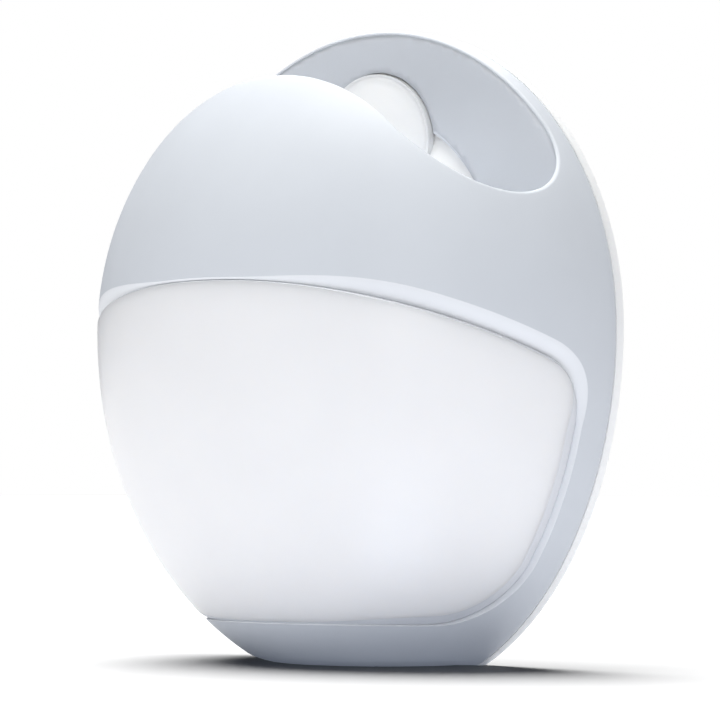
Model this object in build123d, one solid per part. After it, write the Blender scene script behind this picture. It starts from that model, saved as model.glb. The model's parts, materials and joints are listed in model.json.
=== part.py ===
from build123d import *
import math
import os

# Wearable breast pump, in millimetres.
# +Z is up and the front is -Y. X = 0 is the plane of symmetry. The origin is the centre of the
# bounding box on the surface that the pump stands on. Depths are counted forward from the back plane.

# Envelope: a superellipse turned about a front-to-back axis, then stretched up and down.
HALF_WIDTH = 60.0
DEPTH = 56.0
HEIGHT = 128.0
AXIS_Z = 66.6            # level of the widest section
LOWER_REACH = 73.4       # from that level to the tip, below the cut that makes the foot
UPPER_REACH = HEIGHT - AXIS_Z
ROUNDNESS = 2.2          # exponent of the superellipse
BACK_Y = DEPTH / 2
PROFILE_STEPS = 12
FAR = 90.0               # reaches past the whole pump

# Casing
WALL = 2.0
LINER_WALL = 1.5
SHIELD_RIM = 2.1
PART_GAP = 0.15          # between flat faces of parts that come apart
CASE_GAP = 0.1           # between parts that stay together

# Bottle bay, seen from the side
BAY_BACK = 10.2
BAY_FLOOR = 8.9
BAY_SLOPE = math.radians(22.2)
BAY_CORNER_Z = 56.8      # where the ceiling would meet the back wall
BAY_TOP_RADIUS = 14.0
BAY_LOW_RADIUS = 12.0
BAY_EDGE = 1.2

# Window notch, seen from the side
WINDOW_DEPTH = 20.8
WINDOW_Z = 106.0
WINDOW_RADIUS = 14.4

# Shield
TUNNEL_Z = 80.0
TUNNEL_RADIUS = 12.0
TUNNEL_WALL = 1.3
TUNNEL_END = 28.5
TUNNEL_CAP = 1.2
SHIELD_WALL = 1.4
LENS_Z = 104.3
LENS_RADIUS = 15.0
LENS_FRONT = 5.6
SPOUT_Z = 38.0
SPOUT_RADIUS = 4.2
SPOUT_BORE = 2.8
SPOUT_END = 15.0
CLEARANCE = 0.3          # between the shield and the hub

# The flange is a flat dish between an ellipse and the funnel's mouth. The funnel is turned
# from a profile of (radius, depth) points about the tunnel's axis.
FLANGE_Z = 64.5
FLANGE_HALF = (56.5, 60.5)
FUNNEL_PROFILE = ((31.5, 0.9), (27.0, 3.2), (19.5, 8.0), (14.4, 13.5), (12.0, 19.5))

# Rear shell
REAR_FACE = 3.75         # front of its flat wall
REAR_WALL = 1.2
BOWL_RADIUS = 480.0       # of the slightly hollow wall behind the window notch
KEYHOLE_RADIUS = 31.0
KEYHOLE_Z = 79.5
SPOUT_WAY = 6.2

# Cradle
CRADLE_WALL = 1.6

# Bottle
BOTTLE_GAP = 0.5
BOTTLE_WALL = 1.6
BOTTLE_EDGE = 2.4
NECK_RADIUS = 7.5
COLLAR_BORE = 6.3
COLLAR_LENGTH = 4.5
GASKET_BORE = 5.8

# Controls
BUTTON_RADIUS = 3.3
BUTTON_X = (34.0, 43.0)
BUTTON_TOP = 92.5
FLOOR_Z = WINDOW_Z - WINDOW_RADIUS

# Screws
SCREW_RADIUS = 1.0
LOWER_SCREW = (36.0, 28.0)
UPPER_SCREW = (48.5, 84.0)
SCREW_HEAD = 2.3
SCREW_HEAD_DEPTHS = (2.5, 3.9)
SCREW_END = 8.4
SCREW_SLOT = 0.7
BOSS_RADIUS = 3.0
BOSS_START = 5.3
BOSS_END = 12.0
BOSS_BORE_END = 9.5
WEB_HALF = 0.8

# Foot pad and charging socket
PAD_HALF = 14.0
PAD_DEPTHS = (4.0, 20.0)
PAD_THICKNESS = 0.8
USB_DEPTH = 18.0
USB_Z = 76.0
USB_HALF = (4.5, 1.6)
USB_X = (-56.2, -49.0)
USB_SHELL = 0.5

# Inside the hub: depths count forward from the back plane
BOARD_DEPTHS = (41.0, 42.2)
CHIP_DEPTHS = (BOARD_DEPTHS[1], 43.4)
SENSOR_X = -15.0
SENSOR_Z = 87.0
SENSOR_HALF = 3.0
SENSOR_FRONT = 43.8
BATTERY_X = (20.0, 43.0)
BATTERY_DEPTHS = (11.5, 31.5)
BATTERY_HEIGHTS = (70.0, 82.5)
PUMP_X = 14.0
PUMP_Z = 83.0
PUMP_RADIUS = 9.6
PUMP_DEPTHS = (33.2, 37.6)
MOUNT_THICKNESS = 1.2
TUBE_START = 34.0
TUBE_DEPTH = 39.0
TUBE_TOP = 97.4
TUBE_RADIUS = 1.5
TUBE_BORE = 0.8
VENT_DEPTH = 40.0
VENT_Z = 100.6
VENT_BODY = (-11.0, 6.0)
VENT_RADIUS = 2.9
VENT_BORE = 1.55
PLUNGER_RADIUS = 1.5
PLUNGER_X = (-2.0, 7.4)
PLUNGER_CAP = 2.2
SPRING_START = -9.2
SPRING_LENGTH = 6.8
SPRING_PITCH = 1.2
SPRING_RADIUS = 1.1
SPRING_WIRE = 0.4

os.makedirs("parts", exist_ok=True)


def y_at(depth):
    """The Y of a depth counted forward from the back plane."""
    return BACK_Y - depth


def dome(inset):
    """The envelope as a solid, its curved side moved inward by inset."""
    radius = HALF_WIDTH - inset
    depth = DEPTH - inset
    power = 2 / ROUNDNESS
    points = []
    for step in range(PROFILE_STEPS + 1):
        angle = step / PROFILE_STEPS * math.pi / 2
        points.append((radius * math.cos(angle) ** power, -depth * math.sin(angle) ** power))
    points[-1] = (0, -depth)
    curve = Spline(*points, tangents=((0, -1), (-1, 0)))
    edges = [curve, Line((0, -depth), (0, 0)), Line((0, 0), (radius, 0))]
    profile = make_face(edges)
    upper = revolve(profile, Axis.Y, -180)
    lower = revolve(profile, Axis.Y, 180)
    if upper.center().Z < 0:
        upper, lower = lower, upper
    upper = scale(upper, by=(1, 1, (UPPER_REACH - inset) / radius))
    lower = scale(lower, by=(1, 1, (LOWER_REACH - inset) / radius))
    return Pos(0, BACK_Y, AXIS_Z) * (upper + lower)


def span(near, far, low=-FAR, high=2 * FAR, half=FAR):
    """A box between two depths and two heights."""
    return Pos(0, y_at((near + far) / 2), (low + high) / 2) * Box(2 * half, far - near, high - low)


def block(x_range, depths, heights):
    """A box from its X, depth and height ranges."""
    centre = Pos(sum(x_range) / 2, y_at(sum(depths) / 2), sum(heights) / 2)
    return centre * Box(x_range[1] - x_range[0], depths[1] - depths[0], heights[1] - heights[0])


def rod(x, z, radius, near, far):
    """A cylinder that runs front to back between two depths."""
    return Pos(x, y_at((near + far) / 2), z) * Rot(90, 0, 0) * Cylinder(radius, far - near)


def post(x, depth, radius, low, high):
    """An upright cylinder."""
    return Pos(x, y_at(depth), (low + high) / 2) * Cylinder(radius, high - low)


def cross_rod(depth, z, radius, start, end):
    """A cylinder that runs along X."""
    return Pos((start + end) / 2, y_at(depth), z) * Rot(0, 90, 0) * Cylinder(radius, end - start)


def bay(grow):
    """The bottle bay as a prism across the hub, its walls moved outward by grow."""
    back = BAY_BACK - grow
    floor = BAY_FLOOR - grow
    front = DEPTH + FAR / 3
    slope = math.tan(BAY_SLOPE)
    corner = BAY_CORNER_Z + grow / math.cos(BAY_SLOPE) - grow * slope
    outline = Polyline(
        (y_at(back), floor),
        (y_at(back), corner),
        (y_at(front), corner + (front - back) * slope),
        (y_at(front), floor),
        close=True,
    )
    face = make_face(outline)
    face = fillet(face.vertices().group_by(Axis.X)[-1].sort_by(Axis.Y)[-1], BAY_TOP_RADIUS + grow)
    face = fillet(face.vertices().group_by(Axis.X)[-1].sort_by(Axis.Y)[0], BAY_LOW_RADIUS + grow)
    return extrude(Plane.YZ * face, amount=FAR, both=True)


def window(grow):
    """The window notch as a prism across the hub, open at the top."""
    radius = WINDOW_RADIUS + grow
    face = Pos(y_at(WINDOW_DEPTH), WINDOW_Z) * Circle(radius)
    face += Pos(y_at(WINDOW_DEPTH), WINDOW_Z + FAR / 2) * Rectangle(2 * radius, FAR)
    return extrude(Plane.YZ * face, amount=FAR, both=True)


def funnel(offset):
    """The skin side of the flange and funnel as a solid, moved forward and outward by offset."""
    last = len(FUNNEL_PROFILE) - 1
    points = []
    for index, (radius, depth) in enumerate(FUNNEL_PROFILE):
        before = FUNNEL_PROFILE[max(index - 1, 0)]
        after = FUNNEL_PROFILE[min(index + 1, last)]
        lean = math.atan2(after[1] - before[1], before[0] - after[0])
        if index == last:
            lean = math.pi / 2
        points.append((radius + offset * math.sin(lean), -depth - offset * math.cos(lean)))
    mouth_radius, mouth_y = points[0]
    end_y = points[-1][1]
    curve = Spline(*points, tangents=((points[1][0] - mouth_radius, points[1][1] - mouth_y), (0, -1)))
    centre_line = Polyline(points[-1], (0, end_y), (0, mouth_y), points[0])
    cone = Pos(0, BACK_Y, TUNNEL_Z) * revolve(make_face([curve, centre_line]), Axis.Y, 360)
    rim = Plane(origin=(0, y_at(offset), FLANGE_Z), x_dir=(1, 0, 0), z_dir=(0, -1, 0))
    mouth = Plane(origin=(0, BACK_Y + mouth_y, TUNNEL_Z), x_dir=(1, 0, 0), z_dir=(0, -1, 0))
    dish = loft([rim * Ellipse(*FLANGE_HALF), mouth * Circle(mouth_radius)], ruled=True)
    return dish + cone


def side_plate(points, half):
    """A plate |X| < half whose side outline is given as (depth, height) points."""
    outline = Polyline(*[(y_at(depth), height) for depth, height in points], close=True)
    return extrude(Plane.YZ * make_face(outline), amount=half, both=True)


def rim_edges(solid, tool):
    """Edges of a solid that lie on the surface of a tool it was cut with, straight ones left out."""
    found = []
    for edge in solid.edges():
        if edge.geom_type == GeomType.LINE:
            continue
        samples = [edge.position_at(place) for place in (0.1, 0.5, 0.9)]
        if all(min(face.distance_to(point) for face in tool.faces()) < 0.02 for point in samples):
            found.append(edge)
    return found


def mirrored(shape):
    """A shape and its mirror image across X = 0."""
    return shape + mirror(shape, Plane.YZ)


CASE_START = SHIELD_RIM + PART_GAP
OUTER = dome(0)
CASE_INSIDE = dome(WALL)
LINING = dome(WALL + CASE_GAP)
KEYHOLE = (
    rod(0, KEYHOLE_Z, KEYHOLE_RADIUS, -1, FAR)
    + rod(0, LENS_Z, LENS_RADIUS + 0.6, -1, FAR)
    + rod(0, SPOUT_Z, SPOUT_WAY, -1, FAR)
    + block((-3.9, 3.9), (-1, FAR), (SPOUT_Z, 56))
)
TUNNEL_SPACE = rod(0, TUNNEL_Z, TUNNEL_RADIUS + TUNNEL_WALL + CLEARANCE, 5, TUNNEL_END + 0.4)
DUCT_FRONT = ((17.2, 70.0), (17.6, 64.5), (13.4, 59.5), (9.2, 54.0), (7.2, 49.5), (7.2, 34.5))


def duct(grow, half, back):
    """The milk duct under the funnel, its front moved forward by grow, back to a given depth."""
    front = [(depth + grow, height) for depth, height in DUCT_FRONT]
    return side_plate([(back, DUCT_FRONT[0][1])] + front + [(back, DUCT_FRONT[-1][1])], half)


def front_shell():
    """Domed casing with the bottle bay, the window notch and the foot."""
    solid = (OUTER & span(CASE_START, FAR, low=0)) - bay(0)
    solid = fillet(rim_edges(solid, bay(0)), BAY_EDGE)
    solid -= window(0)
    shell = solid - (CASE_INSIDE & span(0, FAR, low=WALL))
    x, z = UPPER_SCREW
    web = block((x, x + 2 * BOSS_RADIUS), (BOSS_START, BOSS_END), (z - WEB_HALF, z + WEB_HALF))
    boss = rod(x, z, BOSS_RADIUS, BOSS_START, BOSS_END) + web
    boss = (boss & OUTER) - rod(x, z, SCREW_RADIUS, 5, BOSS_BORE_END)
    shell += mirrored(boss & dome(WALL / 2))
    shell -= usb_opening(0.15)
    shell -= foot_pad()
    return shell


def usb_opening(grow):
    """The charging socket's envelope through the left flank."""
    half_width, half_height = USB_HALF[0] + grow, USB_HALF[1] + grow
    depths = (USB_DEPTH - half_width, USB_DEPTH + half_width)
    return block((-FAR, USB_X[1]), depths, (USB_Z - half_height, USB_Z + half_height))


def foot_pad():
    return block((-PAD_HALF, PAD_HALF), PAD_DEPTHS, (0, PAD_THICKNESS))


def rear_shell():
    """Back cover, with the keyhole that the shield goes through and the window's rear wall."""
    shell = LINING & span(CASE_START, REAR_FACE, low=WALL + CASE_GAP)
    shell += funnel(SHIELD_WALL + CLEARANCE + REAR_WALL)
    bowl = Pos(0, y_at(REAR_FACE + BOWL_RADIUS), FLOOR_Z) * Sphere(BOWL_RADIUS)
    wall = (dome(3.4) & span(REAR_FACE - 0.5, 6.35, low=FLOOR_Z - LINER_WALL)) - bowl
    shell += wall
    for x, z in (LOWER_SCREW, UPPER_SCREW):
        shell += mirrored(rod(x, z, 4, CASE_START, 5.2) & LINING)
    shell -= funnel(SHIELD_WALL + CLEARANCE)
    shell -= span(-5, CASE_START)
    shell -= KEYHOLE
    for x, z in (LOWER_SCREW, UPPER_SCREW):
        shell -= mirrored(rod(x, z, 2.5, 0, 3.9) + rod(x, z, SCREW_RADIUS + 0.1, 0, 6))
    return shell


def shell_gasket():
    ring = dome(WALL + 0.15) - dome(3.3)
    return ring & span(REAR_FACE + 0.05, REAR_FACE + 1.05, low=3.4)


def shell_screws():
    screws = []
    for x, z in (LOWER_SCREW, UPPER_SCREW):
        for side in (-1, 1):
            screw = rod(side * x, z, SCREW_HEAD, *SCREW_HEAD_DEPTHS)
            screw += rod(side * x, z, SCREW_RADIUS, SCREW_HEAD_DEPTHS[1] - 0.1, SCREW_END)
            screw -= rod(side * x, z, SCREW_SLOT, 2.4, 3.2)
            screws.append(screw)
    return Compound(children=screws)


def bottle_cradle():
    """The walls of the bottle bay, inside the casing."""
    cradle = (bay(CRADLE_WALL) - bay(0)) & LINING & span(0, FAR, low=WALL + CASE_GAP)
    x, z = LOWER_SCREW
    cradle += mirrored(rod(x, z, BOSS_RADIUS, BOSS_START, BAY_BACK - 1))
    cradle -= mirrored(rod(x, z, SCREW_RADIUS, 5, 8.5))
    cradle -= rod(0, SPOUT_Z, SPOUT_WAY, 0, 14)
    return cradle


def notch_room():
    """The space inside the window notch."""
    return window(0) + span(REAR_FACE, WINDOW_DEPTH, low=FLOOR_Z)


def notch_lining():
    """The notch's space grown by the thickness of its walls."""
    return window(LINER_WALL) + span(REAR_FACE, WINDOW_DEPTH, low=FLOOR_Z - LINER_WALL)


def window_liner():
    """Floor and front wall of the window notch."""
    liner = (notch_lining() & LINING & span(6.5, FAR)) - notch_room()
    liner -= funnel(SHIELD_WALL + CLEARANCE)
    liner -= TUNNEL_SPACE
    for x in BUTTON_X:
        liner -= mirrored(post(x, WINDOW_DEPTH, BUTTON_RADIUS + 0.3, 85, 95))
    return liner - status_light()


def tunnel_socket():
    """Trough under the notch that the shield's funnel and tunnel slide into."""
    grow = CLEARANCE + REAR_WALL
    socket = funnel(SHIELD_WALL + grow) & span(6.5, FAR)
    socket += rod(0, TUNNEL_Z, TUNNEL_RADIUS + TUNNEL_WALL + grow, 12, TUNNEL_END + 1.9)
    socket -= notch_lining()
    socket -= funnel(SHIELD_WALL + CLEARANCE)
    socket -= TUNNEL_SPACE
    socket -= duct(0.5, 3.9, 0)
    socket -= bay(CRADLE_WALL + CASE_GAP)
    return socket - rod(0, TUNNEL_Z, 3, 25, 35)


def status_light():
    return post(-38.5, 11.5, 1.2, 85.8, FLOOR_Z + 0.2)


def button(x):
    """A round key in the notch's floor, with its flange and stem."""
    key = post(x, WINDOW_DEPTH, BUTTON_RADIUS, 89.4, BUTTON_TOP)
    key = fillet(key.edges().group_by(Axis.Z)[-1], 0.6)
    key += post(x, WINDOW_DEPTH, BUTTON_RADIUS + 0.9, 88.6, 89.4)
    return key + post(x, WINDOW_DEPTH, 1.2, 87.95, 88.7)


def button_board(side):
    x_range = (28, 47) if side > 0 else (-47, -28)
    return block(x_range, (14, 28), (84.5, 85.7))


def tact_switches():
    switches = []
    for x in BUTTON_X:
        for side in (-1, 1):
            base = block((side * x - 2, side * x + 2), (WINDOW_DEPTH - 2, WINDOW_DEPTH + 2), (85.7, 86.9))
            switches.append(base + post(side * x, WINDOW_DEPTH, 1, 86.8, 87.2))
    return Compound(children=switches)


def battery(side):
    x_range = tuple(sorted(side * x for x in BATTERY_X))
    cell = block(x_range, BATTERY_DEPTHS, BATTERY_HEIGHTS)
    return fillet(cell.edges().filter_by(Axis.Y), 2)


def air_pump(side):
    """A flat disc pump with its outlet."""
    disc = rod(side * PUMP_X, PUMP_Z, PUMP_RADIUS, *PUMP_DEPTHS)
    disc = fillet(disc.edges().filter_by(GeomType.CIRCLE), 0.5)
    return disc + rod(side * PUMP_X, PUMP_Z, 1.4, PUMP_DEPTHS[1] - 0.1, PUMP_DEPTHS[1] + 1.8)


def pump_mounts():
    """Soft rings that the pumps sit on."""
    near, far = PUMP_DEPTHS[0] - MOUNT_THICKNESS, PUMP_DEPTHS[0]
    rings = []
    for side in (-1, 1):
        ring = rod(side * PUMP_X, PUMP_Z, PUMP_RADIUS - 0.6, near, far)
        rings.append(ring - rod(side * PUMP_X, PUMP_Z, PUMP_RADIUS - 3.6, near - 1, far + 0.8))
    return Compound(children=rings)


def vacuum_port():
    """The nozzle in the socket's end wall that draws on the seal."""
    port = rod(0, TUNNEL_Z, 3, TUNNEL_END + 0.6, TUBE_START) + rod(0, TUNNEL_Z, 3.8, TUNNEL_END + 1.95, 32)
    return port - rod(0, TUNNEL_Z, 1.2, 25, 35)


def air_tube():
    """Silicone tube from the port forward and up to the vent valve."""
    corners = ((TUBE_START, TUNNEL_Z), (TUBE_DEPTH, TUNNEL_Z), (TUBE_DEPTH, TUBE_TOP))
    path = FilletPolyline(*[(0, y_at(depth), height) for depth, height in corners], radius=2 * TUBE_RADIUS)
    start = Plane(origin=(0, y_at(TUBE_START), TUNNEL_Z), z_dir=(0, -1, 0))
    return sweep(start * Circle(TUBE_RADIUS), path) - sweep(start * Circle(TUBE_BORE), path)


def main_board():
    return block((-23, 23), BOARD_DEPTHS, (75, 96.5))


def board_chips():
    sizes = (((-8, 8), (78, 90)), ((11, 17), (80, 86)), ((-19, -12), (77, 81)), ((10, 15), (89, 93)))
    return Compound(children=[block(x_range, CHIP_DEPTHS, heights) for x_range, heights in sizes])


def pressure_sensor():
    x_range = (SENSOR_X - SENSOR_HALF, SENSOR_X + SENSOR_HALF)
    heights = (SENSOR_Z - SENSOR_HALF, SENSOR_Z + SENSOR_HALF)
    body = block(x_range, (BOARD_DEPTHS[1], SENSOR_FRONT), heights)
    body += rod(SENSOR_X, SENSOR_Z, 1.3, SENSOR_FRONT - 0.1, SENSOR_FRONT + 1.7)
    return body - rod(SENSOR_X, SENSOR_Z, 0.5, SENSOR_FRONT - 0.8, SENSOR_FRONT + 2.2)


def vent_valve_body():
    body = cross_rod(VENT_DEPTH, VENT_Z, VENT_RADIUS, *VENT_BODY)
    return body - cross_rod(VENT_DEPTH, VENT_Z, VENT_BORE, VENT_BODY[0] + 1.5, VENT_BODY[1] + 1)


def vent_valve_plunger():
    stem = cross_rod(VENT_DEPTH, VENT_Z, PLUNGER_RADIUS, *PLUNGER_X)
    return stem + cross_rod(VENT_DEPTH, VENT_Z, PLUNGER_CAP, PLUNGER_X[1], PLUNGER_X[1] + 1)


def vent_valve_spring():
    """A coil spring of flat wire behind the plunger."""
    path = Helix(pitch=SPRING_PITCH, height=SPRING_LENGTH, radius=SPRING_RADIUS)
    wire = sweep(Plane(origin=path @ 0, z_dir=path % 0) * Rectangle(SPRING_WIRE, SPRING_WIRE), path)
    return Pos(SPRING_START, y_at(VENT_DEPTH), VENT_Z) * Rot(0, 90, 0) * wire


def usb_port():
    """Charging socket, a metal shell round its tongue."""
    def around(x_range, inset, half_height):
        depths = (USB_DEPTH - USB_HALF[0] + inset, USB_DEPTH + USB_HALF[0] - inset)
        return block(x_range, depths, (USB_Z - half_height, USB_Z + half_height))

    outer, inner = USB_X
    shell = around(USB_X, 0, USB_HALF[1])
    shell = fillet(shell.edges().filter_by(Axis.X), 1.5)
    shell -= around((outer - 0.8, inner - 1), USB_SHELL, USB_HALF[1] - USB_SHELL)
    return shell + around((outer + 1.7, inner - 0.5), 1.4, 0.3)


def breast_shield():
    """Flange, funnel, tunnel, viewing lens and milk spout in one moulding."""
    body = (OUTER & span(0, SHIELD_RIM, low=0)) + funnel(SHIELD_WALL)
    body += rod(0, TUNNEL_Z, TUNNEL_RADIUS + TUNNEL_WALL, 12, TUNNEL_END)
    body += rod(0, LENS_Z, LENS_RADIUS, 1, LENS_FRONT)
    body += duct(0, 3.4, 3)
    body += rod(0, SPOUT_Z, SPOUT_RADIUS, 3, SPOUT_END)
    body -= funnel(0)
    body -= rod(0, TUNNEL_Z, TUNNEL_RADIUS, 15, TUNNEL_END - TUNNEL_CAP)
    body -= rod(0, LENS_Z, LENS_RADIUS - 1.5, -1, LENS_FRONT - 1.4)
    body -= duct(-1, 2.2, 3) - funnel(1.2)
    body -= post(0, 17.2, 1.5, 63, 70)
    body -= rod(0, SPOUT_Z, SPOUT_BORE, 6, SPOUT_END + 1)
    return body - rod(0, TUNNEL_Z, 2.0, TUNNEL_END - 2, TUNNEL_END + 1)


def seal_membrane():
    """Soft cap over the front end of the tunnel."""
    return rod(0, TUNNEL_Z, 9, TUNNEL_END, TUNNEL_END + 0.3)


def duckbill_valve():
    """Soft one-way valve on the milk spout, narrowing to a slit."""
    outside = ((11.5, 5.4), (15.5, 5.4), (22.5, 0.9), (22.5, -0.9), (15.5, -5.4), (11.5, -5.4))
    inside = ((14.0, 4.2), (15.5, 4.2), (23.0, 0.1), (23.0, -0.1), (15.5, -4.2), (14.0, -4.2))
    at_spout = Pos(0, 0, SPOUT_Z)
    sleeve = rod(0, SPOUT_Z, 5.3, 11.5, 22.5) & (at_spout * side_plate(outside, 6))
    sleeve -= rod(0, SPOUT_Z, SPOUT_RADIUS, 11, SPOUT_END)
    return sleeve - (rod(0, SPOUT_Z, 3.9, 14, 23) & (at_spout * side_plate(inside, 6)))


def bottle():
    """Hollow container that fills the bay and follows the envelope."""
    solid = OUTER & bay(-BOTTLE_GAP)
    solid = fillet(rim_edges(solid, bay(-BOTTLE_GAP)), BOTTLE_EDGE)
    inside = dome(BOTTLE_WALL) & bay(-BOTTLE_GAP - BOTTLE_WALL)
    return solid - inside - rod(0, SPOUT_Z, NECK_RADIUS, 5, 16)


def bottle_collar():
    start = BAY_BACK + BOTTLE_GAP
    collar = rod(0, SPOUT_Z, NECK_RADIUS, start, start + COLLAR_LENGTH)
    collar += rod(0, SPOUT_Z, NECK_RADIUS + 1, start + BOTTLE_WALL, start + BOTTLE_WALL + 1)
    return collar - rod(0, SPOUT_Z, COLLAR_BORE, 5, 20)


def neck_gasket():
    start = BAY_BACK + BOTTLE_GAP + 0.3
    return rod(0, SPOUT_Z, COLLAR_BORE, start, start + 2.5) - rod(0, SPOUT_Z, GASKET_BORE, 5, 20)


PARTS = {
    "front_shell": front_shell,
    "rear_shell": rear_shell,
    "shell_gasket": shell_gasket,
    "shell_screws": shell_screws,
    "bottle_cradle": bottle_cradle,
    "window_liner": window_liner,
    "tunnel_socket": tunnel_socket,
    "status_light": status_light,
    "power_button": lambda: button(-BUTTON_X[1]),
    "play_button": lambda: button(-BUTTON_X[0]),
    "plus_button": lambda: button(BUTTON_X[0]),
    "minus_button": lambda: button(BUTTON_X[1]),
    "button_board_left": lambda: button_board(-1),
    "button_board_right": lambda: button_board(1),
    "tact_switches": tact_switches,
    "battery_left": lambda: battery(-1),
    "battery_right": lambda: battery(1),
    "air_pump_left": lambda: air_pump(-1),
    "air_pump_right": lambda: air_pump(1),
    "pump_mounts": pump_mounts,
    "vacuum_port": vacuum_port,
    "air_tube": air_tube,
    "main_board": main_board,
    "board_chips": board_chips,
    "pressure_sensor": pressure_sensor,
    "vent_valve_body": vent_valve_body,
    "vent_valve_plunger": vent_valve_plunger,
    "vent_valve_spring": vent_valve_spring,
    "usb_port": usb_port,
    "foot_pad": foot_pad,
    "breast_shield": breast_shield,
    "seal_membrane": seal_membrane,
    "duckbill_valve": duckbill_valve,
    "bottle": bottle,
    "bottle_collar": bottle_collar,
    "neck_gasket": neck_gasket,
}

for name, make in PARTS.items():
    export_step(make(), f"parts/{name}.step")
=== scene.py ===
"""Looks of a wearable breast pump: skins, materials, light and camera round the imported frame."""

import json
import math

import bmesh
import bpy
import numpy as np
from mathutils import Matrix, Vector, geometry


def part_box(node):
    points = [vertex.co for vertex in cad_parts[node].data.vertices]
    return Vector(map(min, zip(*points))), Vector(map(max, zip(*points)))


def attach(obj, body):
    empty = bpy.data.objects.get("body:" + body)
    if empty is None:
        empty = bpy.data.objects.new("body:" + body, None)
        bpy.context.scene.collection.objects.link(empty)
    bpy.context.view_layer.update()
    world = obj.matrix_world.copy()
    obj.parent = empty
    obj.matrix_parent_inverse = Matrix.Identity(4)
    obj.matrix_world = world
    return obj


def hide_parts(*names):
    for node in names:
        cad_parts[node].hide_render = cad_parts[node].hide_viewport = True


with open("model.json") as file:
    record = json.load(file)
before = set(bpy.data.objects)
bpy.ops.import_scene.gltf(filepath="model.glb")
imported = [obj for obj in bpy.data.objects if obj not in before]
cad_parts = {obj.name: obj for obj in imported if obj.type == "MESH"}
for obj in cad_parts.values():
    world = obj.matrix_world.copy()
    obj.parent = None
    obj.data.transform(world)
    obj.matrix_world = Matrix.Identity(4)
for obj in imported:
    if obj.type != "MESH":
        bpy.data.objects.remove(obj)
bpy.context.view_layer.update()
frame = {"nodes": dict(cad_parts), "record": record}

# Lengths are in millimetres until a mesh is made. Points are (x, depth, z), with depth counted
# forward from the back plane.
MM = 0.001
shield_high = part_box("breast_shield")[1]
bottle_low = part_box("bottle")[0]

# the dome: half a superellipsoid, reaching further below its axis than above it
HALF_WIDTH = shield_high.x / MM
HEIGHT = shield_high.z / MM
BACK_Y = shield_high.y / MM
DEPTH = BACK_Y - bottle_low.y / MM
AXIS_Z = 66.6
UPPER_REACH = HEIGHT - AXIS_Z
LOWER_REACH = 73.4
ROUNDNESS = 2.2
DOMAIN_RADIUS = 80.0     # of the flat disc that the dome is drawn on
BEYOND = 10.0            # how far an opening's outline runs past the dome's front
FAR = 160.0              # a height above the whole pump

# the casing
SEAM_DEPTH = 2.25        # where it begins, in front of the shield's rim
SEAM_ROLL = 0.35
FOOT_ROLL = 1.7
WALL = 2.0
FOOT_WALL = 1.8          # of its flat underside
FOOT_GAP = 0.02          # between the underside and the rolled edge round it

# the bottle's bay
BAY_BACK = 10.2
BAY_FLOOR = 8.9
BAY_SLOPE = math.radians(22.2)
BAY_CORNER_Z = 56.8
BAY_RADII = (12.0, 14.0)
BOTTLE_GAP = 0.1
SPOUT_Z = 38.0
NECK_RADIUS = 7.5        # of the way into the bottle
NECK_MARGIN = 2.0        # flat wall round it
BOTTLE_WALL = 1.6

# the casing's lip round the bay (paler: painted highlight) and the bottle's rim (greyer: painted
# shade): what they measure at the middle of the pump, and what they gain by its flanks
LIP_WIDTH, LIP_GROWTH = 0.35, 2.8
LIP_DEPTH, LIP_DEEPENING = 0.3, 1.1
LIP_LEAST = 0.1          # share of the growth that is left along the back and floor
LIP_FULLNESS = 0.2       # how squarely it turns
RIM_WIDTH, RIM_GROWTH = 0.3, 2.7
RIM_DEPTH, RIM_DEEPENING = 0.3, 0.8
RIM_FADING = 0.85        # share of the growth that is lost along the ceiling
RIM_FULLNESS = 0.35

# the window notch and the wall behind it
WINDOW_DEPTH = 20.8
WINDOW_Z = 106.0
WINDOW_RADIUS = 14.4
NOTCH_ROLL = 0.6         # radius of the notch's lip
NOTCH_FLOOR = WINDOW_Z - WINDOW_RADIUS
NOTCH_REAR = WINDOW_DEPTH - WINDOW_RADIUS
REAR_FACE = 3.75         # depth of the wall round the keyhole
REAR_WALL = 0.35         # thickness of that wall
BOWL_RADIUS = 480.0      # of the wall's slight hollow
KEYHOLE_RADIUS = 31.0
KEYHOLE_Z = 79.5

# the shield's viewing lens
LENS_Z = 104.3
LENS_RADIUS = 15.0
LENS_FRONT = 5.6
LENS_GAP = 0.35          # between the lens and the keyhole

# fineness of the skins
GRID = 1.3               # spacing of their points
COARSE_GRID = 3.0        # where they are hidden or flat
LOOP_STEP = 0.8          # spacing along their edges
OUTLINE_POINTS = 16000   # of an opening's side outline, before it is cut with the dome
CORNER_SLACK = 0.01      # keeps a straight piece between two roundings
RIM_POINTS = 430         # round the casing's rear edge
FOOT_POINTS = 88         # along its foot's front edge
FOOT_REAR_POINTS = 60
BOTTLE_COLUMNS = 60      # from one flank of the bottle to the other
NECK_POINTS = 72
WELD = 3e-6              # metres within which points become one
SLIVER = 1e-7            # metres below which an edge is dropped


# ---------------------------------------------------------------- the dome and its edges

def ring(depth):
    """Share of the full width that the dome has at a depth."""
    share = np.clip(np.asarray(depth, float) / DEPTH, 0, 1)
    return (1 - share**ROUNDNESS) ** (1 / ROUNDNESS)


def reach(z, inset=0.0):
    """Distance from the axis to the dome's top, or below the axis to its lowest point."""
    return np.where(z > AXIS_Z, UPPER_REACH, LOWER_REACH) - inset


def to_flat(points):
    """Points of the dome, or near it, on a flat disc whose middle is the dome's front."""
    x, depth, z = points.T
    u, v = x / HALF_WIDTH, (z - AXIS_Z) / reach(z)
    half = ROUNDNESS / 2
    angle = np.arctan2(np.clip(depth / DEPTH, 0, None) ** half, np.hypot(u, v) ** half)
    away = DOMAIN_RADIUS * (1 - angle / (math.pi / 2))
    turn = np.arctan2(v, u)
    return np.column_stack((away * np.cos(turn), away * np.sin(turn)))


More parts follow.
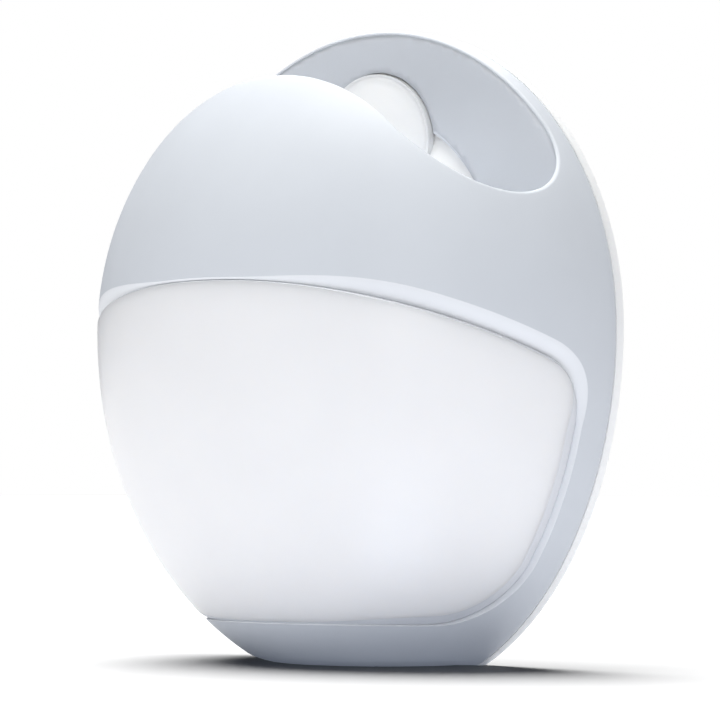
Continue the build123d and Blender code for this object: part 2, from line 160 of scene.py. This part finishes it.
def to_dome(flat, inset=0.0):
    """The reverse of to_flat, on the dome moved inward by inset."""
    away = np.hypot(*flat.T) / DOMAIN_RADIUS
    angle = (1 - away) * math.pi / 2
    turn = np.arctan2(flat[:, 1], flat[:, 0])
    power = 2 / ROUNDNESS
    share = np.cos(angle) ** power
    v = share * np.sin(turn)
    x = (HALF_WIDTH - inset) * share * np.cos(turn)
    depth = (DEPTH - inset) * np.sin(np.clip(angle, 0, None)) ** power
    return np.column_stack((x, depth, AXIS_Z + v * (np.where(v > 0, UPPER_REACH, LOWER_REACH) - inset)))


def normal(points):
    """Outward normals of the dome."""
    x, depth, z = points.T
    tall = reach(z)
    share = np.hypot(x / HALF_WIDTH, (z - AXIS_Z) / tall) ** (ROUNDNESS - 2)
    forward = np.clip(depth / DEPTH, 0, None) ** (ROUNDNESS - 1) / DEPTH
    made = np.column_stack((share * x / HALF_WIDTH**2, forward, share * (z - AXIS_Z) / tall**2))
    return unit(made)


def eased(share):
    """0 to 1 with a soft start and end."""
    share = np.clip(share, 0, 1)
    return share * share * (3 - 2 * share)


def unit(vectors):
    """Rows of vectors made 1 long."""
    return vectors / np.linalg.norm(vectors, axis=1, keepdims=True)


def rounded(corners, radii, steps=400):
    """A side outline through (depth, z) corners, the inner ones rounded off, as dense points."""
    corners = [np.array(c, float) for c in corners]
    runs = [corners[0]]
    for before, corner, after, radius in zip(corners, corners[1:], corners[2:], radii):
        back, on = unit(np.array([before - corner, after - corner]))
        half = math.acos(np.clip(back @ on, -1, 1)) / 2
        start, end = corner + back * radius / math.tan(half), corner + on * radius / math.tan(half)
        centre = corner + unit(np.array([back + on]))[0] * radius / math.sin(half)
        first, last = (math.atan2(*(p - centre)[::-1]) for p in (start, end))
        sweep = (last - first + math.pi) % (2 * math.pi) - math.pi
        angles = first + sweep * np.linspace(0, 1, steps)
        runs.extend(centre + radius * np.column_stack((np.cos(angles), np.sin(angles))))
    runs.append(corners[-1])
    runs = np.array(runs)
    along = np.concatenate(([0], np.cumsum(np.linalg.norm(np.diff(runs, axis=0), axis=1))))
    dense = np.linspace(0, along[-1], OUTLINE_POINTS)
    return np.column_stack([np.interp(dense, along, runs[:, i]) for i in range(2)])


def bay_outline(grow=0.0):
    """Side outline of the bottle bay, from its floor round the back to its ceiling."""
    back, floor = BAY_BACK - grow, BAY_FLOOR - grow
    slope = math.tan(BAY_SLOPE)
    corner = BAY_CORNER_Z + grow / math.cos(BAY_SLOPE) - grow * slope
    front = DEPTH + BEYOND
    ends = ((front, floor), (back, floor), (back, corner), (front, corner + (front - back) * slope))
    return rounded(ends, [r + grow for r in BAY_RADII])


def window_outline(grow=0.0):
    """Side outline of the window notch, from its rear wall round the floor to its front wall."""
    rear, front = NOTCH_REAR - grow, WINDOW_DEPTH + WINDOW_RADIUS + grow
    floor = NOTCH_FLOOR - grow
    radius = WINDOW_RADIUS + grow - CORNER_SLACK
    return rounded(((rear, FAR), (rear, floor), (front, floor), (front, FAR)), (radius, radius))


def bend(start, corner, end, fullness=0.55, steps=7):
    """Rows of a rolled edge between two curves, round their common corner."""
    near_start = start + (corner - start) * fullness
    near_end = end + (corner - end) * fullness
    rows = []
    for t in np.linspace(0, 1, steps):
        s = 1 - t
        rows.append(s**3 * start + 3 * s * s * t * near_start + 3 * s * t * t * near_end + t**3 * end)
    return rows


class Edge:
    """The closed curve in which a prism across the pump, given by its side outline, cuts the dome."""

    def __init__(self, outline, step=LOOP_STEP):
        depth, z = outline.T
        squares = HALF_WIDTH**2 * (ring(depth) ** 2 - ((z - AXIS_Z) / reach(z)) ** 2)
        inside = np.flatnonzero(squares > 0)
        keep = slice(inside[0], inside[-1] + 1)
        x = np.sqrt(squares[keep])
        x[0] = x[-1] = 0
        half = np.column_stack((x, depth[keep], z[keep]))
        lean = np.gradient(outline, axis=0)[keep]
        along = np.concatenate(([0], np.cumsum(np.linalg.norm(np.diff(half, axis=0), axis=1))))
        even = np.linspace(0, along[-1], max(int(along[-1] / step), 8))
        half = np.column_stack([np.interp(even, along, half[:, i]) for i in range(3)])
        lean = np.column_stack([np.interp(even, along, lean[:, i]) for i in range(2)])
        mirrored = half[-2:0:-1] * (-1, 1, 1)
        self.points = np.vstack((half, mirrored))
        lean = np.vstack((lean, lean[-2:0:-1]))
        run = unit(np.roll(self.points, -1, axis=0) - np.roll(self.points, 1, axis=0))
        out = normal(self.points)
        wall = np.column_stack((np.zeros(len(lean)), -lean[:, 1], lean[:, 0]))
        self.inward = unit(np.cross(wall, run))
        self.inward *= -np.sign(np.sum(self.inward * out, axis=1, keepdims=True))
        self.aside = unit(np.cross(out, run))
        from_middle = self.points - self.points.mean(axis=0)
        self.aside *= np.sign(np.sum(self.aside * from_middle))

    def shifted(self, distance):
        """The curve moved over the dome, away from its opening, as flat points."""
        return to_flat(self.points + self.aside * np.reshape(distance, (-1, 1)))

    def roll(self, along, inward, fullness=0.55, steps=7):
        """Rows of a rolled edge, from the dome to the wall of the opening."""
        start = to_dome(self.shifted(along))
        end = self.points + self.inward * np.reshape(inward, (-1, 1))
        return bend(start, self.points, end, fullness, steps)


# ---------------------------------------------------------------- meshes

def within(points, loop):
    """Which flat points are inside a closed loop."""
    x, y = points[:, :1], points[:, 1:]
    ax, ay = loop.T
    bx, by = np.roll(loop, -1, axis=0).T
    crosses = (ay > y) != (by > y)
    with np.errstate(divide="ignore", invalid="ignore"):
        at = (bx - ax) * (y - ay) / (by - ay) + ax
    return np.sum(crosses & (x < at), axis=1) % 2 == 1


def filled(outer, holes=(), spacing=GRID):
    """Triangles over a flat region: its points and their index triples."""
    low, high = outer.min(axis=0), outer.max(axis=0)
    rows = np.arange(low[1], high[1], spacing * math.sqrt(3) / 2)
    grid = np.array([(x + (i % 2) * spacing / 2, y)
                     for i, y in enumerate(rows) for x in np.arange(low[0], high[0], spacing)])
    keep = within(grid, outer)
    for hole in holes:
        keep &= ~within(grid, hole)
    grid = grid[keep]
    loops = [outer, *holes]
    edge_points = np.vstack(loops)
    clear = spacing * 0.6    # grid points nearer to an edge than this are left out
    far = np.ones(len(grid), bool)
    for point in edge_points:
        far &= np.sum((grid - point) ** 2, axis=1) > clear**2
    points = np.vstack((edge_points, grid[far]))
    edges, first = [], 0
    for loop in loops:
        count = len(loop)
        edges += [(first + i, first + (i + 1) % count) for i in range(count)]
        first += count
    found = geometry.delaunay_2d_cdt([Vector(p) for p in points], edges, [], 0, 1e-6)
    flat = np.array([tuple(p) for p in found[0]])
    triangles = np.array([f for f in found[2] if len(f) == 3])
    middles = flat[triangles].mean(axis=1)
    keep = within(middles, outer)
    for hole in holes:
        keep &= ~within(middles, hole)
    return flat, triangles[keep]


class Mesh:
    """Gathers strips and patches and welds them into one object."""

    def __init__(self):
        self.points, self.faces, self.count = [], [], 0

    def add(self, points, faces):
        """Takes in points and the faces between them."""
        self.points.append(np.asarray(points, float))
        self.faces += [tuple(int(i) + self.count for i in face) for face in faces]
        self.count += len(points)

    def strip(self, rows, closed=True):
        """Quads between rows of equal length."""
        count = len(rows[0])
        last = count if closed else count - 1
        faces = []
        for here in range(0, (len(rows) - 1) * count, count):
            for i in range(last):
                on = (i + 1) % count
                faces.append((here + i, here + on, here + count + on, here + count + i))
        self.add(np.vstack(rows), faces)

    def patch(self, place, outer, holes=(), spacing=GRID):
        """A filled flat region, each of its points put in place by a function."""
        flat, triangles = filled(outer, holes, spacing)
        self.add(place(flat), triangles)

    def object(self, name, material, body, slot, replaces=()):
        """One welded, smooth object in the scene, riding on a body of the pump."""
        points = np.vstack(self.points)
        world = np.column_stack((points[:, 0], BACK_Y - points[:, 1], points[:, 2])) * MM
        data = bpy.data.meshes.new(name)
        data.from_pydata(world.tolist(), [], self.faces)
        work = bmesh.new()
        work.from_mesh(data)
        bmesh.ops.remove_doubles(work, verts=work.verts, dist=WELD)
        bmesh.ops.dissolve_degenerate(work, edges=work.edges, dist=SLIVER)
        bmesh.ops.recalc_face_normals(work, faces=work.faces)
        work.to_mesh(data)
        work.free()
        data.shade_smooth()
        data.materials.append(material)
        made = bpy.data.objects.new(name, data)
        bpy.context.scene.collection.objects.link(made)
        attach(made, body)
        if replaces:
            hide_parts(*replaces)
        return made


# ---------------------------------------------------------------- materials

PLASTIC = {"mottle": 0.02, "grain": 0.012, "metallic": 0.0, "specular": 0.5,
           "subsurface": 0.0, "radius": 0.004, "transmission": 0.0, "coat": 0.0}
MOTTLE_SCALE, MOTTLE_DETAIL = 45.0, 4.0
MOTTLE_STOPS = (0.3, 0.7)
GRAIN_SCALE, GRAIN_DETAIL = 2600.0, 2.0
GRAIN_STRENGTH = 0.35
GLOSS_SPREAD = 0.04      # of the roughness, either way
LEAST_ROUGHNESS = 0.02
SCATTER = (1.0, 0.95, 0.9)


def material(name, colour, roughness, **extra):
    """A plastic with slight mottling of its colour and gloss and a fine moulded grain."""
    made = bpy.data.materials.new(name)
    made.use_nodes = True
    nodes, links = made.node_tree.nodes, made.node_tree.links
    shader = nodes["Principled BSDF"]
    settings = {**PLASTIC, **extra}
    place = nodes.new("ShaderNodeTexCoord")
    cloud, grain = nodes.new("ShaderNodeTexNoise"), nodes.new("ShaderNodeTexNoise")
    for noise, scale, detail in ((cloud, MOTTLE_SCALE, MOTTLE_DETAIL), (grain, GRAIN_SCALE, GRAIN_DETAIL)):
        noise.inputs["Scale"].default_value = scale
        noise.inputs["Detail"].default_value = detail
        links.new(place.outputs["Object"], noise.inputs["Vector"])
    tint = nodes.new("ShaderNodeValToRGB")
    shares = (1 - settings["mottle"], 1 + settings["mottle"])
    for stop, position, share in zip(tint.color_ramp.elements, MOTTLE_STOPS, shares):
        stop.position = position
        stop.color = (*[min(c * share, 1) for c in colour], 1)
    links.new(cloud.outputs["Fac"], tint.inputs["Fac"])
    links.new(tint.outputs["Color"], shader.inputs["Base Color"])
    gloss = nodes.new("ShaderNodeMapRange")
    gloss.inputs["To Min"].default_value = max(roughness - GLOSS_SPREAD, LEAST_ROUGHNESS)
    gloss.inputs["To Max"].default_value = roughness + GLOSS_SPREAD
    links.new(cloud.outputs["Fac"], gloss.inputs["Value"])
    links.new(gloss.outputs["Result"], shader.inputs["Roughness"])
    bump = nodes.new("ShaderNodeBump")
    bump.inputs["Strength"].default_value = GRAIN_STRENGTH
    bump.inputs["Distance"].default_value = settings["grain"] * MM
    links.new(grain.outputs["Fac"], bump.inputs["Height"])
    links.new(bump.outputs["Normal"], shader.inputs["Normal"])
    for socket, value in (("Metallic", settings["metallic"]),
                          ("Specular IOR Level", settings["specular"]),
                          ("Subsurface Weight", settings["subsurface"]),
                          ("Subsurface Radius", SCATTER),
                          ("Subsurface Scale", settings["radius"]),
                          ("Transmission Weight", settings["transmission"]),
                          ("Coat Weight", settings["coat"])):
        shader.inputs[socket].default_value = value
    return made


CASING = material("casing_plastic", (0.64, 0.67, 0.72), 0.46, specular=0.35)
# a paler copy of the casing plastic for its lip: painted highlight on the lit chamfer
PAINTED_HIGHLIGHT_LIP = material("lip_painted_highlight", (0.78, 0.80, 0.84), 0.42)
# a greyer copy of the bottle plastic for its rim: painted shade between bottle and casing
PAINTED_SHADE_RIM = material("bottle_rim_painted_shade", (0.71, 0.73, 0.775), 0.36, mottle=0.012)
LINER = material("liner_plastic", (0.65, 0.675, 0.72), 0.5, specular=0.3)
BOTTLE = material("milky_bottle", (0.865, 0.865, 0.885), 0.34, mottle=0.012, subsurface=0.6, radius=0.006)
SHIELD = material("frosted_shield", (0.96, 0.965, 0.975), 0.32, mottle=0.01, subsurface=0.4, radius=0.003)
SILICONE = material("clear_silicone", (0.84, 0.85, 0.87), 0.4, subsurface=0.5, radius=0.003)
SOFT_SEAL = material("grey_seal", (0.08, 0.085, 0.09), 0.6)
PAD = material("foot_rubber", (0.30, 0.31, 0.34), 0.7, grain=0.03)
KEY = material("key_plastic", (0.80, 0.82, 0.86), 0.4)
BLACK = material("black_plastic", (0.02, 0.02, 0.022), 0.45)
BOARD = material("circuit_board", (0.02, 0.11, 0.05), 0.35, coat=0.4)
FOIL = material("battery_foil", (0.42, 0.43, 0.45), 0.32, metallic=0.7)
STEEL = material("bright_steel", (0.56, 0.57, 0.58), 0.28, metallic=1.0)
BRASS = material("turned_brass", (0.62, 0.44, 0.19), 0.3, metallic=1.0)
LIGHT = material("light_guide", (0.85, 0.88, 0.92), 0.2, transmission=0.4)

SLOT_MATERIALS = {
    "casing": CASING, "liner": LINER, "bottle_plastic": BOTTLE, "shield_plastic": SHIELD,
    "clear_silicone": SILICONE, "soft_seal": SOFT_SEAL, "pad_rubber": PAD, "key_plastic": KEY,
    "black_plastic": BLACK, "circuit_board": BOARD, "battery_wrap": FOIL, "steel": STEEL,
    "brass_part": BRASS, "light_guide": LIGHT,
}


def dress_frame():
    """Gives every CAD node the material of its slot."""
    slots = {row["node"]: row["material_slot"] for row in frame["record"]["subparts"]}
    for name, node in frame["nodes"].items():
        node.data.materials.clear()
        node.data.materials.append(SLOT_MATERIALS[slots[name]])


# ---------------------------------------------------------------- pieces

def at_level(flat, level):
    """Flat (x, depth) points laid at a height."""
    return np.column_stack((flat, np.full(len(flat), level)))


def upright(flat, depth):
    """Flat (x, z) points stood up at a depth."""
    return np.column_stack((flat[:, 0], np.full(len(flat), depth), flat[:, 1]))


def upper_share(edge):
    """0 along the back and floor of the bay, rising to 1 at its ceiling."""
    from_z, over = 46, 12
    return eased((edge.points[:, 2] - from_z) / over)


def sideways_share(edge):
    """0 at the middle of the pump, rising to 1 at its flanks."""
    from_x, over = 8, 36
    return eased((np.abs(edge.points[:, 0]) - from_x) / over)


def casing():
    """Front shell: the dome with the bay and the notch cut out, rolled edges and an inner skin."""
    bay, notch = Edge(bay_outline()), Edge(window_outline())
    sideways = sideways_share(bay)
    bay_along = LIP_WIDTH + LIP_GROWTH * sideways * (LIP_LEAST + (1 - LIP_LEAST) * upper_share(bay))
    bay_inward = LIP_DEPTH + LIP_DEEPENING * sideways
    rows = {bay: bay.roll(bay_along, bay_inward, LIP_FULLNESS),
            notch: notch.roll(NOTCH_ROLL, NOTCH_ROLL)}
    lip = Mesh()
    lip.strip(rows[bay])
    # the lip's paler colour is painted highlight on the chamfer that faces the light
    lip.object("bay_lip", PAINTED_HIGHLIGHT_LIP, "hub", "casing")
    # the inner skin keeps away from the wall behind the notch
    clearance, from_depth, over = 2.5, 16, 8
    rearward = clearance * eased((from_depth - notch.points[:, 1]) / over)
    inner_holes = {bay: to_flat(bay.points), notch: notch.shifted(rearward)}
    start = skin_border(SEAM_DEPTH + SEAM_ROLL, FOOT_ROLL, 0, 0)
    corner = skin_border(SEAM_DEPTH, 0, 0, 0)
    end = skin_border(SEAM_DEPTH, 0, SEAM_ROLL, FOOT_ROLL)
    inner = to_flat(skin_border(SEAM_DEPTH, WALL, 0, 0))
    skin = Mesh()
    skin.patch(to_dome, to_flat(start), [bay.shifted(bay_along), notch.shifted(NOTCH_ROLL)])
    skin.strip(rows[notch])
    for edge in (bay, notch):
        skin.strip([rows[edge][-1], to_dome(inner_holes[edge], WALL)])
    skin.strip(bend(start, corner, end))
    skin.strip([end, to_dome(inner, WALL)])
    skin.patch(lambda flat: to_dome(flat, WALL), inner, list(inner_holes.values()), COARSE_GRID)
    return skin.object("casing_front", CASING, "hub", "casing", ["front_shell"])


def skin_border(seam, level, rim_inset, foot_inset):
    """The casing's rear edge at a depth, closed by the edge of its foot at a height."""
    share = float(ring(seam))
    foot_half = math.asin((AXIS_Z - level) / (LOWER_REACH - rim_inset) / share)
    turns = np.linspace(-foot_half, math.pi + foot_half, RIM_POINTS)
    tall = np.where(np.sin(turns) > 0, UPPER_REACH, LOWER_REACH) - rim_inset
    width = HALF_WIDTH - rim_inset
    rim = np.column_stack((width * share * np.cos(turns), np.full(len(turns), seam),
                           AXIS_Z + share * tall * np.sin(turns)))
    x = rim[0, 0] * np.sin(np.linspace(-math.pi / 2, math.pi / 2, FOOT_POINTS + 2)[1:-1])
    down = (AXIS_Z - level) / (LOWER_REACH - foot_inset)
    share = np.hypot(x / (HALF_WIDTH - foot_inset), down)
    depth = (DEPTH - foot_inset) * np.clip(1 - share**ROUNDNESS, 0, None) ** (1 / ROUNDNESS)
    foot = at_level(np.column_stack((x, np.maximum(depth, seam))), level)
    return np.vstack((rim, foot))


def foot_plate():
    """Flat underside of the casing, with a pocket for the pad."""
    edge = skin_border(SEAM_DEPTH, 0, SEAM_ROLL, FOOT_ROLL + FOOT_GAP)[RIM_POINTS:]
    rear = np.linspace(edge[-1, 0], edge[0, 0], FOOT_REAR_POINTS)[1:-1]
    loop = np.vstack((edge[:, :2], np.column_stack((rear, np.full(len(rear), SEAM_DEPTH)))))
    low, high = (np.array(corner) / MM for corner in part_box("foot_pad"))
    near, far = BACK_Y - high[1], BACK_Y - low[1]
    pocket = np.array([(low[0], near), (high[0], near), (high[0], far), (low[0], far)])
    skin = Mesh()
    for level in (0.0, FOOT_WALL):
        skin.patch(lambda flat, level=level: at_level(flat, level), loop, [pocket], COARSE_GRID)
    for outline in (loop, pocket):
        skin.strip([at_level(outline, level) for level in (0.0, FOOT_WALL)])
    return skin.object("casing_foot", CASING, "hub", "casing")


def bottle_walls(skin, end):
    """Walls that fit the bay, from flank to flank of a closed curve, with the hole for the neck."""
    half = len(end) // 2 + 1
    right = end[:half]
    left = np.vstack((end[:1], end[:half - 2:-1]))
    across = np.array([right + (left - right) * t for t in np.linspace(0, 1, BOTTLE_COLUMNS)])
    beside = np.flatnonzero(np.abs(right[:, 2] - SPOUT_Z) < NECK_RADIUS + NECK_MARGIN)
    beside = beside[right[beside, 1] < BAY_BACK + 1]
    first, last = beside[0], beside[-1]
    skin.strip(list(across[:, :first + 1]), closed=False)
    skin.strip(list(across[:, last:]), closed=False)
    back = float(right[beside, 1].mean())
    loop = np.vstack((across[0, first:last], across[:-1, last],
                      across[-1, last:first:-1], across[:0:-1, first]))
    turns = np.linspace(0, 2 * math.pi, NECK_POINTS, endpoint=False)
    neck = np.column_stack((NECK_RADIUS * np.cos(turns), SPOUT_Z + NECK_RADIUS * np.sin(turns)))
    skin.patch(lambda flat: upright(flat, back), loop[:, [0, 2]], [neck])
    skin.strip([upright(neck, depth) for depth in (back, back + BOTTLE_WALL)])


def bottle():
    """Milk bottle: its dome face, a rolled rim coloured greyer as painted shade, and the walls behind."""
    edge = Edge(bay_outline(-BOTTLE_GAP))
    sideways = sideways_share(edge)
    along = -(RIM_WIDTH + RIM_GROWTH * sideways * (1 - RIM_FADING * upper_share(edge)))
    inward = RIM_DEPTH + RIM_DEEPENING * sideways
    rows = edge.roll(along, inward, RIM_FULLNESS)
    rim = Mesh()
    rim.strip(rows)
    # the rim's greyer colour is painted shade where it sits back beside the casing's lip
    rim.object("bottle_rim_painted_shade", PAINTED_SHADE_RIM, "bottle_unit", "bottle_plastic")
    skin = Mesh()
    skin.patch(to_dome, edge.shifted(along))
    bottle_walls(skin, rows[-1])
    return skin.object("bottle_body", BOTTLE, "bottle_unit", "bottle_plastic", ["bottle"])


def arc(centre, radius, first, last, step=LOOP_STEP):
    """Points of an arc about a centre, between two angles in radians."""
    count = max(int(abs(last - first) * radius / step), 2)
    angles = np.linspace(first, last, count)
    return np.column_stack((centre[0] + radius * np.cos(angles), centre[1] + radius * np.sin(angles)))


def rear_wall_depth(flat):
    """Depth of the notch's rear wall: a shallow bowl that rises to the lip all round."""
    x, z = flat.T
    raised, under_lip = 0.1, 0.12
    rise_from, over, sharpness = 0.78, 0.21, 14
    bowl = REAR_FACE + raised + (x**2 + (z - NOTCH_FLOOR) ** 2) / (2 * BOWL_RADIUS)
    share = np.hypot(x / (HALF_WIDTH - NOTCH_ROLL), (z - AXIS_Z) / (UPPER_REACH - NOTCH_ROLL))
    rise = REAR_FACE + (NOTCH_REAR - REAR_FACE) * np.clip((share - rise_from) / over, 0, 1) ** 2
    return np.minimum((bowl**sharpness + rise**sharpness) ** (1 / sharpness), NOTCH_REAR - under_lip)


def keyhole_outline(floor):
    """The opening for the shield's lens: part of a wide circle from a floor up, then round the lens."""
    top_radius = LENS_RADIUS + LENS_GAP
    low_start = math.asin((floor - KEYHOLE_Z) / KEYHOLE_RADIUS)
    gap = LENS_Z - KEYHOLE_Z
    low_end = math.asin((KEYHOLE_RADIUS**2 + gap**2 - top_radius**2) / (2 * KEYHOLE_RADIUS * gap))
    meet = (KEYHOLE_RADIUS * math.cos(low_end), KEYHOLE_Z + KEYHOLE_RADIUS * math.sin(low_end))
    top_start = math.atan2(meet[1] - LENS_Z, meet[0])
    low_arc = arc((0, KEYHOLE_Z), KEYHOLE_RADIUS, low_start, low_end)[:-1]
    top_arc = arc((0, LENS_Z), top_radius, top_start, math.pi - top_start)
    return np.vstack((low_arc, top_arc, low_arc[::-1] * (-1, 1)))


def rear_wall():
    """The concave wall seen through the notch, with the keyhole for the shield's lens."""
    behind_middle, lift, outer_margin, inner_margin, floor_points = 8, 0.02, 0.3, 0.5, 28
    rear = Edge(window_outline()).roll(NOTCH_ROLL, NOTCH_ROLL)[-1]
    rear = rear[(rear[:, 1] < WINDOW_DEPTH - behind_middle) & (rear[:, 2] > NOTCH_FLOOR)]
    rear = rear[np.argsort(np.arctan2(rear[:, 0], rear[:, 2] - AXIS_Z))][:, [0, 2]]
    floor = NOTCH_FLOOR + lift
    keyhole = keyhole_outline(floor)
    side = np.linspace(rear[-1, 0] - outer_margin, keyhole[0, 0] + inner_margin, floor_points)
    right_floor = np.column_stack((side, np.full(len(side), floor)))
    loop = np.vstack((rear, right_floor, keyhole, right_floor[::-1] * (-1, 1)))
    skin = Mesh()
    for behind in (0.0, REAR_WALL):
        skin.patch(lambda flat, behind=behind: upright(flat, rear_wall_depth(flat) - behind), loop)
    face = upright(loop, rear_wall_depth(loop))
    skin.strip([face, face - (0, REAR_WALL, 0)])
    return skin.object("notch_rear_wall", LINER, "hub", "casing")


def turned(name, profile, centre_z, material, body, slot, steps=160):
    """A piece turned about a front-to-back axis, from (radius, depth) points, with closed ends."""
    angles = np.linspace(0, 2 * math.pi, steps, endpoint=False)
    circle = np.column_stack((np.cos(angles), np.sin(angles)))
    rows = [upright(radius * circle + (0, centre_z), depth) for radius, depth in profile]
    skin = Mesh()
    skin.strip(rows)
    for row, (_, depth) in ((rows[0], profile[0]), (rows[-1], profile[-1])):
        middle = np.array([[0, depth, centre_z]])
        skin.add(np.vstack((row, middle)), [(i, (i + 1) % steps, steps) for i in range(steps)])
    return skin.object(name, material, body, slot)


def lens():
    """Bulged front of the shield's viewing lens."""
    roll, back, bulge, proud, overlap, inner_step = 1.6, 3.6, 2.2, 0.3, 0.05, 1.0
    nearly_middle, edge_points, face_points = 0.98, 9, 14
    radius, shoulder = LENS_RADIUS + overlap, LENS_FRONT - roll + proud
    edge = [(radius - roll * (1 - math.cos(t)), shoulder + roll * math.sin(t))
            for t in np.linspace(0, math.pi / 2, edge_points)]
    inner_radius, front = edge[-1]
    face = [(inner_radius * (1 - t), front + bulge * (1 - (1 - t) ** 2))
            for t in np.linspace(0, nearly_middle, face_points)[1:]]
    profile = [(LENS_RADIUS - inner_step, back), (radius, back)] + edge + face
    return turned("shield_lens", profile, LENS_Z, SHIELD, "shield", "shield_plastic")


# ---------------------------------------------------------------- stage, light and camera

FLOOR_SIZE = 12          # metres
FLOOR_COLOUR, FLOOR_ROUGHNESS = (0.12, 0.12, 0.12, 1), 0.6
ROOM_COLOUR = (0.05, 0.056, 0.068, 1)
BACKDROP_COLOUR = (1, 1, 1, 1)
SUN_POWER, SUN_ANGLE, SUN_LEAN = 27.0, math.radians(56), math.radians(-14)
LAMP_TARGET = (0, 0, 0.06)
CAMERA_LENS, CAMERA_SENSOR = 175.0, 36.0
CAMERA_PLACE = (0.47334, -0.53513 + BACK_Y * MM, 0.03633)
CAMERA_TARGET = (0.00923, -0.01968 + BACK_Y * MM, 0.06055)
LAMPS = [                # name, place, size, power, colour
    ("overhead", (0, 0, 1.0), 0.7, 11.3, (1.0, 1.0, 0.98)),
    ("above_left", (-0.459, -0.537, 0.7), 0.5, 1.5, (1.0, 1.0, 0.98)),
    ("above_behind", (-0.396, 0.45, 0.75), 0.5, 4.2, (1.0, 1.0, 0.99)),
    ("by_camera", (0.627, -0.712, 0.3), 0.4, 2.1, (1.0, 1.0, 0.98)),
    ("under_front", (0.3, -0.34, -0.6), 0.4, 1.1, (0.85, 0.95, 1.15)),
    ("under_right", (0.573, 0.105, -0.5), 0.4, 0.5, (0.95, 0.98, 1.07)),
]


def stage():
    """The floor: dark in itself, and lit to white by its own sun, so that the pump shades it."""
    floor_material = bpy.data.materials.new("floor")
    floor_material.use_nodes = True
    shader = floor_material.node_tree.nodes["Principled BSDF"]
    shader.inputs["Base Color"].default_value = FLOOR_COLOUR
    shader.inputs["Roughness"].default_value = FLOOR_ROUGHNESS
    bpy.ops.mesh.primitive_plane_add(size=FLOOR_SIZE)
    floor = bpy.context.object
    floor.name = "floor"
    floor.data.materials.append(floor_material)
    return floor


def placed(name, data, place=(0, 0, 0), target=None):
    """A lamp or camera in the scene, aimed at a point if one is given."""
    made = bpy.data.objects.new(name, data)
    made.location = place
    if target:
        made.rotation_euler = (Vector(target) - made.location).to_track_quat("-Z", "Y").to_euler()
    bpy.context.scene.collection.objects.link(made)
    return made


def area_light(name, place, size, power, colour):
    """A square lamp aimed at the pump."""
    lamp = bpy.data.lights.new(name, "AREA")
    lamp.size = size
    lamp.energy = power
    lamp.color = colour
    return placed(name, lamp, place, LAMP_TARGET)


def sun(name):
    """A wide soft sun, leaning a little to one side."""
    lamp = bpy.data.lights.new(name, "SUN")
    lamp.energy = SUN_POWER
    lamp.angle = SUN_ANGLE
    made = placed(name, lamp)
    made.rotation_euler = (0, SUN_LEAN, 0)
    return made


def light_up(floor):
    """Lamps that light everything but the floor and shine through it, and a sun for the floor alone."""
    all_but_floor = bpy.data.collections.new("all_but_floor")
    all_but_floor.objects.link(floor)
    all_but_floor.collection_objects[0].light_linking.link_state = "EXCLUDE"
    for row in LAMPS:
        lamp = area_light(*row)
        lamp.light_linking.receiver_collection = all_but_floor
        lamp.light_linking.blocker_collection = all_but_floor
    only_floor = bpy.data.collections.new("only_floor")
    only_floor.objects.link(floor)
    sun("over_floor").light_linking.receiver_collection = only_floor


def surroundings():
    """A dim room, seen by the camera as plain white."""
    world = bpy.data.worlds.new("room")
    bpy.context.scene.world = world
    world.use_nodes = True
    nodes, links = world.node_tree.nodes, world.node_tree.links
    nodes.clear()
    room = nodes.new("ShaderNodeBackground")
    room.inputs["Color"].default_value = ROOM_COLOUR
    backdrop = nodes.new("ShaderNodeBackground")
    backdrop.inputs["Color"].default_value = BACKDROP_COLOUR
    path = nodes.new("ShaderNodeLightPath")
    chosen = nodes.new("ShaderNodeMixShader")
    links.new(path.outputs["Is Camera Ray"], chosen.inputs["Fac"])
    links.new(room.outputs["Background"], chosen.inputs[1])
    links.new(backdrop.outputs["Background"], chosen.inputs[2])
    output = nodes.new("ShaderNodeOutputWorld")
    links.new(chosen.outputs["Shader"], output.inputs["Surface"])


def camera():
    """The main view: a long lens, low and to the right of the front."""
    view = bpy.data.cameras.new("camera")
    view.lens = CAMERA_LENS
    view.sensor_width = CAMERA_SENSOR
    bpy.context.scene.camera = placed("camera", view, CAMERA_PLACE, CAMERA_TARGET)


dress_frame()
casing()
foot_plate()
bottle()
rear_wall()
lens()
floor = stage()
surroundings()
light_up(floor)
camera()
bpy.context.scene.view_settings.view_transform = "Standard"
